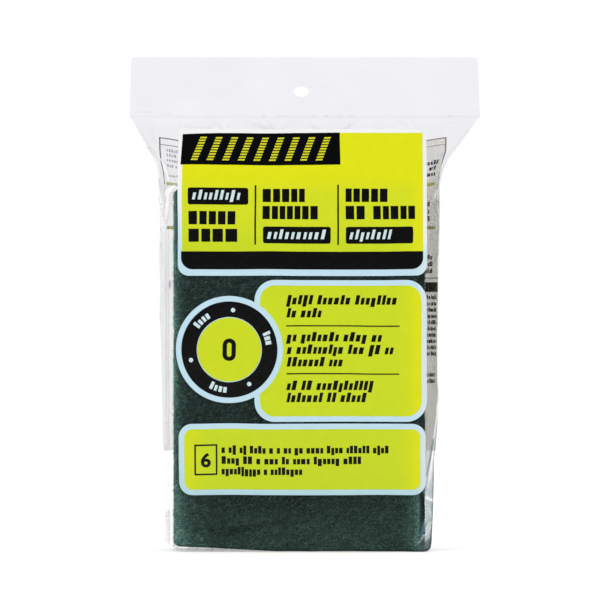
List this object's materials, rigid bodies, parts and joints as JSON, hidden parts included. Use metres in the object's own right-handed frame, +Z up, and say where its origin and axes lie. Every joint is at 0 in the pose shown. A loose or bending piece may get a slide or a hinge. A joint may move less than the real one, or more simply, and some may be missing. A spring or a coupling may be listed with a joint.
{
  "type": "film hang bag of synthetic steel wool pads",
  "caption": "Clear film hang bag, standing on its foot, with a stack of dark green non-woven scouring pads inside and yellow and black printed panels on its front",
  "frame": {"origin": "middle of the outline, on the surface that the pack stands on", "axes": "+Z up towards the header, -Y out of the printed front, +X to the right seen from the front"},
  "size_m": [0.1422, 0.0432, 0.2011],
  "materials": {
    "film": "thin clear polyethylene film, glossy, softly creased",
    "fibre": "matte dark green non-woven fibre web with fine abrasive grain",
    "pale_ink": "pale translucent ink under the gloss of the film",
    "yellow_ink": "flat yellow-green ink under the gloss of the film",
    "black_ink": "flat black ink under the gloss of the film"
  },
  "bodies": {
    "root": {"bag": "film", "pad_1": "fibre", "pad_2": "fibre", "pad_3": "fibre", "pad_4": "fibre", "pad_5": "fibre", "pad_6": "fibre", "title_border": "pale_ink", "title_field": "yellow_ink", "title_strip": "black_ink", "title_band": "black_ink", "grade_border": "pale_ink", "grade_ring": "black_ink", "grade_disc": "yellow_ink", "notes_border": "pale_ink", "notes_field": "yellow_ink", "count_border": "pale_ink", "count_field": "yellow_ink", "title_bar_1": "black_ink", "title_bar_2": "black_ink", "title_bar_3": "black_ink", "title_divider_1": "black_ink", "title_divider_2": "black_ink", "notes_rule_1": "black_ink", "notes_rule_2": "black_ink"}
  },
  "joints": []
}
